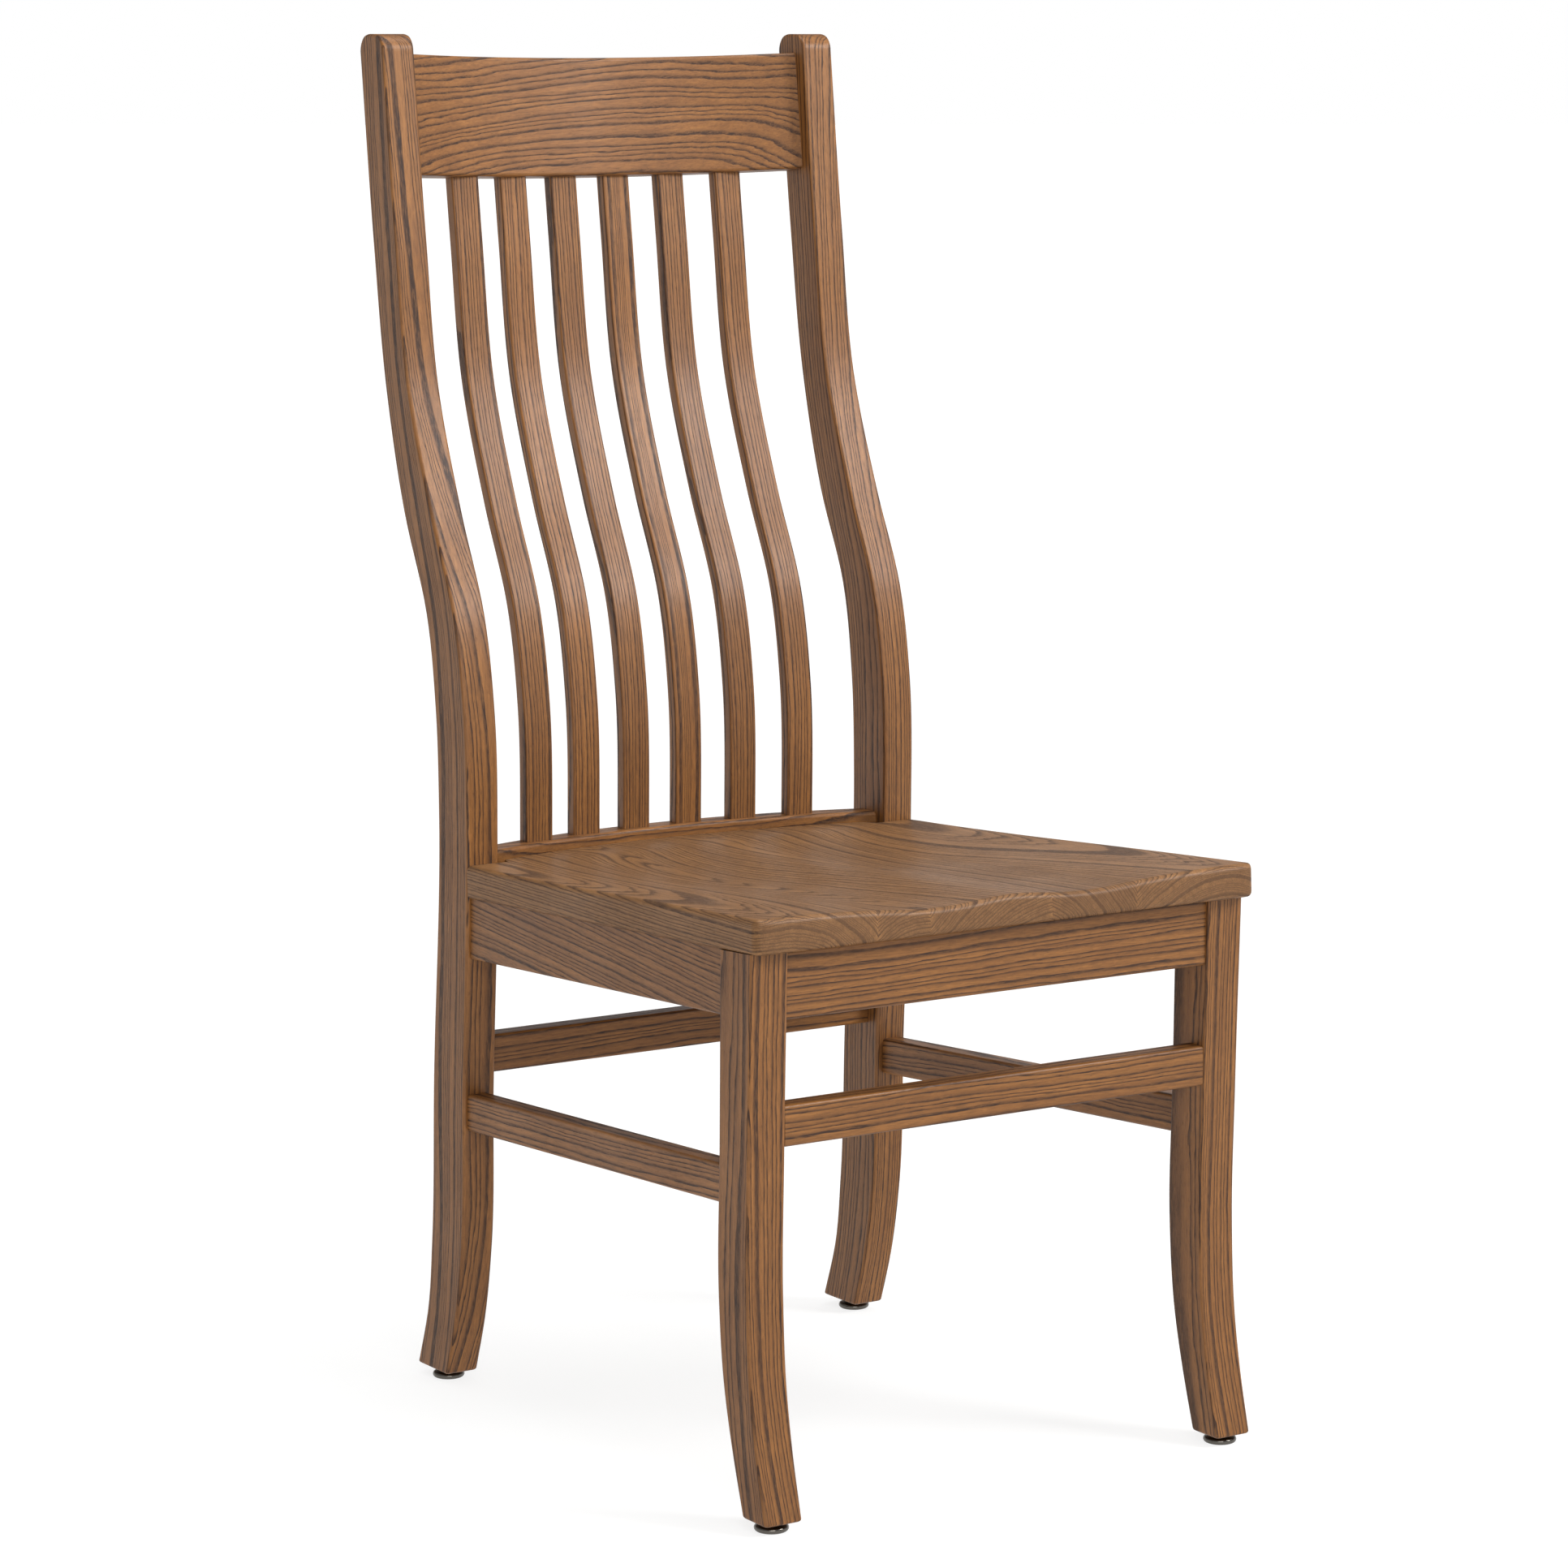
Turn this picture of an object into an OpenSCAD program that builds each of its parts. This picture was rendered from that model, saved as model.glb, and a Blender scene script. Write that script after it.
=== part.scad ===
// High-backed slatted dining chair in oak, built with mortise and tenon joints.
// Millimetres. The chair faces -Y, +X is on the right of someone who looks at its front,
// and +Z is up. The origin is on the floor, at the middle of the chair's footprint.
// In this file y = 0 is the seat's front edge; centred() moves the origin at the end.

/* [Seat] */
// Height of the seat's front edge above the floor
seat_h = 457; // [450:1:462]
// Width of the seat along its front edge
seat_w_front = 456; // [454:1:470]
// Width of the seat at the rear posts
seat_w_rear = 430; // [428:1:440]
// Thickness of the seat boards
seat_t = 26.5; // [24:0.5:29]
// Fall of the seat towards the back, in degrees
seat_slope = 3.1; // [2.9:0.1:3.3]
// Depth of the two thigh hollows
thigh_dip = 6.2; // [3:0.1:7]
// Depth of the round hollow towards the back
back_dip = 8; // [4:0.5:9]

/* [Back] */
// Distance between the rear posts' inner faces
back_w = 371.4; // [365:0.2:372]
// Width of a rear post, side to side
post_w = 28.7; // [28:0.1:30]
// Backward bow of the crest rail and the lower back rail
bow = 33; // [28:1:36]
// Thickness of the crest rail and the lower back rail
rail_t = 24; // [22:0.5:25]
// Distance from the posts' front edges back to the rails' front faces
rail_set = 12.5; // [11.5:0.1:13]
// Height of the crest rail, along its rake
crest_h = 97; // [80:1:97]
// Rake of the crest rail from the vertical, in degrees
crest_rake = 6.9; // [6.5:0.1:7.3]
// Width of a back slat
slat_w = 25; // [20:0.5:30]
// Thickness of a back slat, front to back
slat_t = 12; // [10:0.5:13]
// Distance between the slats' centre lines
slat_pitch = 50.5; // [46:0.5:54]

/* [Front legs] */
// Distance between the front legs' outer faces
legs_w = 450; // [446:1:452]
// Width of a front leg, side to side
leg_w = 32.5; // [31:0.5:34]

/* [Rails below the seat] */
// Height of the front apron's lower edge
apron_z = 378; // [374:1:382]
// Thickness of the aprons
apron_t = 20; // [18:0.5:20]
// Height of the front stretcher's lower edge
front_stretcher_z = 283.5; // [275:0.5:290]
// Height of the side stretchers' lower edge, at the front legs
side_stretcher_z = 237.5; // [225:0.5:240]
// Height of the rear stretcher's lower edge
rear_stretcher_z = 258; // [256:0.5:262]
// Thickness of the stretchers
stretcher_t = 19; // [17:0.5:20]

/* [Glides] */
// Radius of a glide's pad
pad_r = 13; // [11:0.5:13.5]
// Height of the chair's wooden feet above the floor
glide_h = 8; // [7.5:0.1:8.5]

/* [Hidden] */

oak = "#8c6444";
oak_dark = "#7a5639";
oak_seat = "#8a6a4e";
nickel = "#8d8b86";
steel = "#a7a9ab";

// Side outlines as [y, z] points that smooth curves pass through, from the foot up.
POST_FRONT = [
    [483, 8], [467, 57], [456, 114], [450, 250], [440.5, 440],
    [443, 552], [458, 629], [493, 708], [527, 801], [545, 919], [563, 1070]
];
POST_BACK = [
    [531, 8], [514, 58], [506.5, 116], [500.5, 250], [487.5, 470],
    [491, 552], [504.5, 629], [538, 705], [565.5, 801], [584, 919], [602, 1070]
];
LEG_FRONT = [[-7, 8], [4.5, 55], [12.5, 100], [17.5, 170], [16, 280], [11.5, 440]];
LEG_BACK = [[25, 8], [39.5, 55], [50.5, 100], [58, 170], [56.5, 280], [54.5, 440]];

post_top = 1084;              // height of the rear posts
post_nose_r = post_top - 1070; // rounding of the post's top, front and back
crest_z = 972.5;              // lower front edge of the crest rail
crest_back = y_at(POST_FRONT, crest_z) + rail_set + crest_h * sin(crest_rake)
    + (bow + rail_t) * cos(crest_rake); // rearmost point of the chair
mid_y = (LEG_FRONT[0][0] + crest_back) / 2; // middle of the chair's length
half_w = back_w / 2;
leg_x = legs_w / 2 - leg_w;   // inner face of a front leg
bow_r = (half_w * half_w + bow * bow) / (2 * bow); // radius of the bowed rails' fronts
slat_inset = 6;               // slat front behind the rail's front face
slat_house = 10;              // depth of the slats' housings
rail_top = 440;               // top of the lower back rail
rail_bottom = 362;
tenon_t = 9;                  // thickness of every tenon
tenon_l = 13;                 // length of the tenons along X
side_tenon = 14;              // length of the side rails' tenons along Y
apron_front = 16;             // front faces behind the seat's front edge
stretcher_h = 31;
side_stretcher_h = 29.5;
rear_stretcher_y = 464;
side_x_front = legs_w / 2 - 4; // outer face of the side rails at the front legs
side_x_rear = half_w + post_w - 3.3;
side_run = 385;               // distance from front leg to rear post
side_yaw = atan((side_x_front - side_x_rear) / side_run);
side_start = 56;              // y where the side rails leave the front legs
front_glide = [legs_w / 2 - leg_w / 2, 10.5];
rear_glide = [half_w + post_w / 2, 505];
stem_r = 4;
insert_r = 6.5;
insert_l = 16;
stem_top = 34;
bore_gap = 0.05;              // running clearance of a stem in its insert
socket_z = 2.5;               // bottom of the pad's socket
pad_top = 5.5;
block_h = 36;
screw_r = 2.5;
screw_l = 50;
BOARDS = [-228.1, -123, -76.5, 34, 113.5, 228.1]; // edges of the seat boards
overlap = 2;                  // how far a tenon starts inside its own rail
far = 700;                    // longer than anything that is cut with it
round_fn = 64;
bow_fn = 360;

// ---- Curves --------------------------------------------------------------------------

// Slope of the chord from point i to the next one.
function chord(p, i) = (p[i + 1][0] - p[i][0]) / (p[i + 1][1] - p[i][1]);

// Slope of the curve at point i: the neighbouring chords, the nearer one weighted more.
function slope_at(p, i) =
    i == 0 ? chord(p, 0) :
    i == len(p) - 1 ? chord(p, i - 1) :
    let (below = p[i][1] - p[i - 1][1], above = p[i + 1][1] - p[i][1])
    (chord(p, i) * below + chord(p, i - 1) * above) / (below + above);

// Index of the stretch of the outline that holds height z.
function stretch_of(p, z, i = 0) =
    i >= len(p) - 2 || z <= p[i + 1][1] ? i : stretch_of(p, z, i + 1);

// The outline's y at height z: a cubic through the outline's points.
function y_at(p, z) =
    let (i = stretch_of(p, z), h = p[i + 1][1] - p[i][1], t = (z - p[i][1]) / h)
    (2 * pow(t, 3) - 3 * pow(t, 2) + 1) * p[i][0]
    + (pow(t, 3) - 2 * pow(t, 2) + t) * h * slope_at(p, i)
    + (3 * pow(t, 2) - 2 * pow(t, 3)) * p[i + 1][0]
    + (pow(t, 3) - pow(t, 2)) * h * slope_at(p, i + 1);

// Points of an outline from z0 to z1, in n equal steps of height.
function outline(p, z0, z1, n, shift = 0) =
    [for (i = [0:n]) let (z = z0 + (z1 - z0) * i / n) [y_at(p, z) + shift, z]];

// Quarter round of radius r about [y, z], from angle a0 to a1.
function arc(y, z, r, a0, a1, n = 6) =
    [for (i = [1:n]) let (a = a0 + (a1 - a0) * i / n) [y + r * cos(a), z + r * sin(a)]];

function backwards(p) = [for (i = [len(p) - 1:-1:0]) p[i]];

// How far the bowed rails stand back at distance x from the middle.
function bow_at(x) = sqrt(bow_r * bow_r - x * x) - (bow_r - bow);

function slat_x(i) = (i - 3.5) * slat_pitch;

// ---- Frames and cutting shapes -------------------------------------------------------

module centred() translate([0, -mid_y, 0]) children();

module both_sides() {
    children();
    mirror([1, 0, 0]) children();
}

// Extrudes a [y, z] outline along X, from x over the width w.
module across(x, w) translate([x, 0, 0]) rotate([90, 0, 90]) linear_extrude(w) children();

module in_seat() translate([0, 0, seat_h]) rotate([-seat_slope, 0, 0]) children();

module in_crest()
    translate([0, y_at(POST_FRONT, crest_z) + rail_set, crest_z])
    rotate([-crest_rake, 0, 0]) children();

module in_left_side(z)
    translate([-side_x_front, side_start, z]) rotate([-seat_slope, 0, -side_yaw]) children();

module below_seat() in_seat() translate([-far / 2, -far / 2, -seat_t - far])
    cube([far, 2 * far, far]);

// A rail of width w, from the bowed front face back by the thickness t, z over h.
module bowed(t, h, w = back_w) intersection() {
    translate([0, bow - bow_r, 0]) difference() {
        cylinder(r = bow_r + t, h = h, $fn = bow_fn);
        translate([0, 0, -1]) cylinder(r = bow_r, h = h + 2, $fn = bow_fn);
    }
    translate([-w / 2, -t, -1]) cube([w, bow + 2 * t, h + 2]);
}

module rail_front() translate([0, y_at(POST_FRONT, rail_top) + rail_set, rail_bottom])
    children();

// ---- Posts and legs ------------------------------------------------------------------

module post_outline() polygon(concat(
    outline(POST_FRONT, glide_h, 1070, 36),
    arc(y_at(POST_FRONT, 1070) + post_nose_r, 1070, post_nose_r, 180, 90),
    arc(y_at(POST_BACK, 1070) - post_nose_r, 1070, post_nose_r, 90, 0),
    backwards(outline(POST_BACK, glide_h, 1070, 36))
));

module leg_outline() polygon(concat(
    outline(LEG_FRONT, glide_h, 440, 20),
    backwards(outline(LEG_BACK, glide_h, 440, 20))
));

module left_post_blank() across(-half_w - post_w, post_w) post_outline();

module left_leg_blank() intersection() {
    across(-legs_w / 2, leg_w) leg_outline();
    below_seat();
}

// Holes for a glide's stem and its threaded insert, at [x, y].
module glide_hole(at) translate([at[0], at[1], glide_h - 1]) {
    cylinder(r = insert_r, h = insert_l + 1, $fn = round_fn);
    cylinder(r = stem_r + 0.5, h = stem_top - glide_h + 8, $fn = round_fn);
}

module left_post() difference() {
    left_post_blank();
    crest_tenon();
    rail_tenon();
    rear_stretcher_tenon();
    side_apron_tenon();
    side_stretcher_tenon();
    glide_hole([-rear_glide[0], rear_glide[1]]);
}

module left_leg() difference() {
    left_leg_blank();
    front_apron_tenon();
    front_stretcher_tenon();
    side_apron_tenon();
    side_stretcher_tenon();
    glide_hole([-front_glide[0], front_glide[1]]);
}

module left_rear_post() color(oak) centred() left_post();
module right_rear_post() color(oak) centred() mirror([1, 0, 0]) left_post();
module left_front_leg() color(oak) centred() left_leg();
module right_front_leg() color(oak) centred() mirror([1, 0, 0]) left_leg();

// ---- Back ----------------------------------------------------------------------------

module crest_tenon() in_crest()
    translate([-half_w - tenon_l, 6, 12]) cube([tenon_l + overlap, tenon_t, crest_h - 24]);

module rail_tenon() rail_front()
    translate([-half_w - tenon_l, 6, 10])
    cube([tenon_l + overlap, tenon_t, rail_top - rail_bottom - 20]);

module slat(i) let (
    shift = rail_set + slat_inset + bow_at(slat_x(i)),
    z0 = rail_top - slat_house,
    z1 = crest_z + slat_house
) across(slat_x(i) - slat_w / 2, slat_w) polygon(concat(
    outline(POST_FRONT, z0, z1, 26, shift),
    backwards(outline(POST_FRONT, z0, z1, 26, shift + slat_t))
));

module crest_rail() color(oak) centred() difference() {
    union() {
        in_crest() bowed(rail_t, crest_h);
        both_sides() crest_tenon();
    }
    for (i = [1:6]) slat(i);
}

module lower_back_rail() color(oak) centred() difference() {
    union() {
        rail_front() bowed(rail_t, rail_top - rail_bottom);
        both_sides() rail_tenon();
    }
    for (i = [1:6]) slat(i);
}

module back_slat_1() color(oak) centred() slat(1);
module back_slat_2() color(oak) centred() slat(2);
module back_slat_3() color(oak) centred() slat(3);
module back_slat_4() color(oak) centred() slat(4);
module back_slat_5() color(oak) centred() slat(5);
module back_slat_6() color(oak) centred() slat(6);

// ---- Rails below the seat ------------------------------------------------------------

module front_apron_body() intersection() {
    translate([-leg_x, apron_front, apron_z]) cube([2 * leg_x, apron_t, 80]);
    below_seat();
}

module front_apron_tenon()
    translate([-leg_x - tenon_l, apron_front + 5, apron_z + 8])
    cube([tenon_l + overlap, tenon_t, 34]);

module front_apron() color(oak) centred() {
    front_apron_body();
    both_sides() front_apron_tenon();
}

module front_stretcher_tenon()
    translate([-leg_x - tenon_l, 22, front_stretcher_z + 6])
    cube([tenon_l + overlap, tenon_t, stretcher_h - 12]);

module front_stretcher() color(oak) centred() {
    translate([-leg_x, 17, front_stretcher_z]) cube([2 * leg_x, stretcher_t, stretcher_h]);
    both_sides() front_stretcher_tenon();
}

module rear_stretcher_tenon()
    translate([-half_w - tenon_l, rear_stretcher_y + 5, rear_stretcher_z + 6])
    cube([tenon_l + overlap, tenon_t, stretcher_h - 12]);

module rear_stretcher() color(oak) centred() {
    translate([-half_w, rear_stretcher_y, rear_stretcher_z])
        cube([back_w, stretcher_t, stretcher_h]);
    both_sides() rear_stretcher_tenon();
}

// A bar along the chair's left side, from inside the front leg to inside the rear post.
module left_side_bar(z, t, h) difference() {
    in_left_side(z) translate([0, -26, 0]) cube([t, 430, h]);
    across(-legs_w / 2 - 5, leg_w + 30) leg_outline();
    across(-half_w - post_w - 5, post_w + 30) post_outline();
}

module side_apron_body() intersection() {
    left_side_bar(apron_z, apron_t, 80);
    below_seat();
}

// From side_tenon inside the front leg to side_tenon inside the rear post.
module side_tenons(z, t, h) in_left_side(z)
    translate([(t - tenon_t) / 2, -side_tenon, 7])
    cube([tenon_t, side_run + 2 * side_tenon, h]);

module side_apron_tenon() side_tenons(apron_z, apron_t, 34);
module side_stretcher_tenon() side_tenons(side_stretcher_z, stretcher_t, side_stretcher_h - 14);

module left_apron() {
    side_apron_body();
    side_apron_tenon();
}

module left_stretcher() {
    left_side_bar(side_stretcher_z, stretcher_t, side_stretcher_h);
    side_stretcher_tenon();
}

module left_side_apron() color(oak) centred() left_apron();
module right_side_apron() color(oak) centred() mirror([1, 0, 0]) left_apron();
module left_side_stretcher() color(oak) centred() left_stretcher();
module right_side_stretcher() color(oak) centred() mirror([1, 0, 0]) left_stretcher();

// ---- Seat ----------------------------------------------------------------------------

// Outline of the seat; its back runs behind the rail, and between the posts.
module seat_outline() polygon([
    [-seat_w_front / 2, 0], [seat_w_front / 2, 0],
    [seat_w_rear / 2, 460], [half_w, 460], [half_w, 505],
    [-half_w, 505], [-half_w, 460], [-seat_w_rear / 2, 460]
]);

// Two long hollows for the thighs that run out towards the back, and a round one behind.
module hollows() {
    groove_r = 400;
    both_sides() translate([62, -10, groove_r - thigh_dip]) rotate([-90 + 1.4, 0, 0])
        cylinder(r = groove_r, h = 420, $fn = bow_fn);
    bowl_r = 1000;
    translate([0, 285, bowl_r - back_dip]) sphere(r = bowl_r, $fn = bow_fn);
}

module seat_blank() difference() {
    in_seat() difference() {
        translate([0, 0, -seat_t]) linear_extrude(seat_t) seat_outline();
        hollows();
    }
    both_sides() across(-half_w - post_w - 5, post_w + 5) post_outline();
    rail_front() bowed(60, 100, back_w + 8);
}

module seat_board(i) color(oak_seat) centred() difference() {
    intersection() {
        seat_blank();
        translate([BOARDS[i - 1], -50, 300])
            cube([BOARDS[i] - BOARDS[i - 1], far, 250]);
    }
    screws();
}

module seat_board_1() seat_board(1);
module seat_board_2() seat_board(2);
module seat_board_3() seat_board(3);
module seat_board_4() seat_board(4);
module seat_board_5() seat_board(5);

// ---- Corner blocks and screws --------------------------------------------------------

// A corner block's vertical prism, cut off along the seat's slope.
module block_blank(corners) intersection() {
    translate([0, 0, 300]) linear_extrude(200) polygon(corners);
    in_seat() translate([-far / 2, -far / 2, -seat_t - block_h]) cube([far, 2 * far, block_h]);
}

// Everything that the side apron could run through.
module side_apron_path() in_left_side(0) translate([0, -80, 0]) cube([apron_t, 580, 600]);

module front_block() difference() {
    block_blank([[-215, 22], [-120, 22], [-215, 118]]);
    front_apron_body();
    across(-legs_w / 2, leg_w) leg_outline();
    side_apron_path();
    screws();
}

// Its back is a straight chord across the bowed rail's front face.
module rear_block() let (
    face_y = y_at(POST_FRONT, rail_top) + rail_set,
    tip = 112,
    lean = bow_at(tip) / (half_w - tip)
) difference() {
    block_blank([
        [-208, 372], [-208, face_y - (208 - half_w) * lean], [-tip, face_y + bow_at(tip)]
    ]);
    left_post_blank();
    side_apron_path();
    screws();
}

module front_left_corner_block() color(oak_dark) centred() front_block();
module front_right_corner_block() color(oak_dark) centred() mirror([1, 0, 0]) front_block();
module rear_left_corner_block() color(oak_dark) centred() rear_block();
module rear_right_corner_block() color(oak_dark) centred() mirror([1, 0, 0]) rear_block();

// One pan-headed screw that holds the seat down through a corner block.
module screw(y) in_seat() translate([-170, y, -seat_t - block_h]) {
    cylinder(r = screw_r, h = screw_l, $fn = round_fn);
    translate([0, 0, -3]) cylinder(r = 5, h = 3, $fn = round_fn);
}

module screws() both_sides() {
    screw(62);
    screw(422);
}

module seat_screws() color(steel) centred() screws();

// ---- Glides --------------------------------------------------------------------------

module insert(at) translate([at[0], at[1], glide_h]) difference() {
    cylinder(r = insert_r, h = insert_l, $fn = round_fn);
    translate([0, 0, -1]) cylinder(r = stem_r + bore_gap, h = insert_l + 2, $fn = round_fn);
}

module threaded_inserts() color(steel) centred() both_sides() {
    insert(front_glide);
    insert(rear_glide);
}

// Round pad with a rolled edge and a socket for the stem's end.
module pad(at) translate([at[0], at[1], 0]) rotate_extrude($fn = round_fn) polygon(concat(
    [[0, 0], [pad_r - 3, 0]],
    arc(pad_r - 2.5, 2.5, 2.5, -90, 90, 10),
    [[stem_r + 4, pad_top], [stem_r, pad_top], [stem_r, socket_z], [0, socket_z]]
));

// Stem with its hexagonal collar between the pad and the foot.
module stem(at) translate([at[0], at[1], 0]) {
    translate([0, 0, socket_z])
        cylinder(r = stem_r, h = stem_top - socket_z, $fn = round_fn);
    translate([0, 0, pad_top]) cylinder(r = stem_r + 4, h = glide_h - pad_top - 0.2, $fn = 6);
}

function mirrored(at) = [-at[0], at[1]];

module front_left_glide_pad() color(nickel) centred() pad(mirrored(front_glide));
module front_right_glide_pad() color(nickel) centred() pad(front_glide);
module rear_left_glide_pad() color(nickel) centred() pad(mirrored(rear_glide));
module rear_right_glide_pad() color(nickel) centred() pad(rear_glide);
module front_left_glide_stem() color(steel) centred() stem(mirrored(front_glide));
module front_right_glide_stem() color(steel) centred() stem(front_glide);
module rear_left_glide_stem() color(steel) centred() stem(mirrored(rear_glide));
module rear_right_glide_stem() color(steel) centred() stem(rear_glide);

// ---- Parts ---------------------------------------------------------------------------

left_rear_post();
right_rear_post();
left_front_leg();
right_front_leg();
crest_rail();
lower_back_rail();
back_slat_1();
back_slat_2();
back_slat_3();
back_slat_4();
back_slat_5();
back_slat_6();
seat_board_1();
seat_board_2();
seat_board_3();
seat_board_4();
seat_board_5();
front_apron();
left_side_apron();
right_side_apron();
front_stretcher();
rear_stretcher();
left_side_stretcher();
right_side_stretcher();
front_left_corner_block();
front_right_corner_block();
rear_left_corner_block();
rear_right_corner_block();
seat_screws();
threaded_inserts();
front_left_glide_pad();
front_right_glide_pad();
rear_left_glide_pad();
rear_right_glide_pad();
front_left_glide_stem();
front_right_glide_stem();
rear_left_glide_stem();
rear_right_glide_stem();
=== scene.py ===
"""The finished looks of a high-backed oak dining chair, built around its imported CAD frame.

Everything is in metres, in the CAD frame: the chair faces -Y, +X is on the right of someone
who looks at its front, and +Z is up. "Left" and "right" are those of the same person.
"""

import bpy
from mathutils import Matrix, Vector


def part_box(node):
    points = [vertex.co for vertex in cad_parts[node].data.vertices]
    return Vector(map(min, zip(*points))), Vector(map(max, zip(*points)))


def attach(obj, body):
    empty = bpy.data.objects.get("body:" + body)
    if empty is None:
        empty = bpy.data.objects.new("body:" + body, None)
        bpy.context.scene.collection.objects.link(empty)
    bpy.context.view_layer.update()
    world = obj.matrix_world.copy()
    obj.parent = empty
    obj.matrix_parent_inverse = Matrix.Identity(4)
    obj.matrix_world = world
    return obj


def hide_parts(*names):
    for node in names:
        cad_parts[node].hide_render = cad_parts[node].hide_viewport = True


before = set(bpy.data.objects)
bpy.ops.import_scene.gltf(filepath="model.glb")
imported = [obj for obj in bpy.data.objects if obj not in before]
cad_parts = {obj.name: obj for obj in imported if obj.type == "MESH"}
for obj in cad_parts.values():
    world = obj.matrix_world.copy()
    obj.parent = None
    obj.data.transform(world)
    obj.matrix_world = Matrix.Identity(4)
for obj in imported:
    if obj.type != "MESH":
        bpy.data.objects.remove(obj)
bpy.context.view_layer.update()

import logging
import math
from collections.abc import Callable
from dataclasses import dataclass, field
from enum import Enum
from functools import partial

import bpy
from mathutils import Matrix, Vector

log = logging.getLogger("chair")

MM = 0.001
ROOT = "root"

RING = 3.4 * MM
SEAT_HEIGHT = 457 * MM
SEAT_FALL = math.radians(3.1)
APRON_SET = 16 * MM
BACK_HALF = 185.7 * MM
BOW = 33 * MM
TENON_THICKNESS = 9 * MM
TENON_ARRIS = 1 * MM

Ring = list[Vector]
Outline = tuple[tuple[float, float], ...]
Stops = tuple[tuple[float, float], ...]
Input = bpy.types.Node | bpy.types.NodeSocket | float | tuple[float, ...]
Adder = Callable[..., bpy.types.Node]


# ---- Small tools -------------------------------------------------------------------------


def linear(hex_colour: str) -> tuple[float, float, float, float]:
    """Turns an sRGB hex colour into the linear colour that a shader takes.

    Args:
        hex_colour: six hex digits, with or without a leading #.

    Returns:
        Linear red, green, blue and an alpha of 1.
    """
    digits = hex_colour.lstrip("#")
    shares = [int(digits[i:i + 2], 16) / 255 for i in (0, 2, 4)]
    r, g, b = (s / 12.92 if s <= 0.04045 else ((s + 0.055) / 1.055) ** 2.4 for s in shares)
    return (r, g, b, 1.0)


def hermite(points: list[tuple[float, float]], at: float) -> float:
    """Follows a smooth curve through the points, which are in order of their second value.

    Args:
        points: (value, place) pairs.
        at: the place to read the curve at.

    Returns:
        The curve's value there.
    """
    last = len(points) - 2
    i = next((k for k in range(last) if at <= points[k + 1][1]), last)

    def chord(k: int) -> float:
        """Slope of the chord from point k to the next."""
        return (points[k + 1][0] - points[k][0]) / (points[k + 1][1] - points[k][1])

    def slope(k: int) -> float:
        """Slope of the curve at a point.

        Args:
            k: the point's number.

        Returns:
            The slope, weighted between the chords on either side.
        """
        if k == 0 or k == len(points) - 1:
            return chord(min(k, last))
        below = points[k][1] - points[k - 1][1]
        above = points[k + 1][1] - points[k][1]
        return (chord(k) * below + chord(k - 1) * above) / (below + above)

    h = points[i + 1][1] - points[i][1]
    t = (at - points[i][1]) / h
    return (
        (2 * t**3 - 3 * t**2 + 1) * points[i][0] + (t**3 - 2 * t**2 + t) * h * slope(i)
        + (3 * t**2 - 2 * t**3) * points[i + 1][0] + (t**3 - t**2) * h * slope(i + 1)
    )


def smoothstep(low: float, high: float, value: float) -> float:
    """Eases from 0 at low to 1 at high."""
    t = min(1.0, max(0.0, (value - low) / (high - low)))
    return t * t * (3 - 2 * t)


def rounded_rectangle(
    a0: float, a1: float, b0: float, b1: float, radius: float, steps: int = 4
) -> list[tuple[float, float]]:
    """Walks round a rectangle with rounded corners.

    Args:
        a0: lower side along the first direction.
        a1: upper side along the first direction.
        b0: lower side along the second direction.
        b1: upper side along the second direction.
        radius: corner radius.
        steps: stretches in each quarter round.

    Returns:
        The (a, b) points, anticlockwise from the lower right corner.
    """
    radius = min(radius, (a1 - a0) * 0.499, (b1 - b0) * 0.499)
    corners = [(a1, b0, -90), (a1, b1, 0), (a0, b1, 90), (a0, b0, 180)]
    points = []
    for a, b, start in corners:
        ca = a - radius if a == a1 else a + radius
        cb = b - radius if b == b1 else b + radius
        for k in range(steps + 1):
            angle = math.radians(start + 90 * k / steps)
            points.append((ca + radius * math.cos(angle), cb + radius * math.sin(angle)))
    return points


def quarter_steps(radius: float, count: int = 4) -> list[tuple[float, float]]:
    """Steps of a quarter round at the end of a bar.

    Args:
        radius: radius of the rounding.
        count: number of stretches.

    Returns:
        (distance from the end, inset of the section) pairs, from the end inwards.
    """
    angles = [math.radians(90 * k / count) for k in range(count + 1)]
    return [(radius * (1 - math.cos(a)), radius * (1 - math.sin(a))) for a in angles]


# ---- Grain -------------------------------------------------------------------------------


@dataclass(frozen=True)
class Grain:
    """How a board was sawn from the log, which decides the figure on each of its faces.

    The log's pith runs along the board. Growth rings are circles about the pith, so their
    distance from it, and its direction, give straight, cathedral or arched grain. A bent
    board's fibres follow its curve; a sawn one's run out through its faces.
    """

    along: Vector
    pith: Vector
    seed: float
    ring: float = RING
    curve: Outline = ()
    bent_share: float = 0.0

    def axes(self) -> tuple[Vector, Vector, Vector]:
        """Directions of the board.

        Returns:
            Unit vectors along the board, and two across it.
        """
        u = self.along.normalized()
        helper = Vector((0, 0, 1)) if abs(u.z) < 0.8 else Vector((0, 1, 0))
        v = (helper - u * helper.dot(u)).normalized()
        return u, v, u.cross(v)

    def coordinates(self, point: Vector) -> Vector:
        """Place of a point in the log: along it, and across it from the pith.

        Args:
            point: a point of the board.

        Returns:
            (distance along the log, and two distances across it), in metres.
        """
        u, v, w = self.axes()
        offset = point - self.pith
        if self.curve:
            bend = SIDES.at(self.curve, point.z) - SIDES.at(self.curve, self.pith.z)
            offset.y -= self.bent_share * bend
        return Vector((offset.dot(u) + self.seed * 3.7, offset.dot(v), offset.dot(w)))


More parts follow.
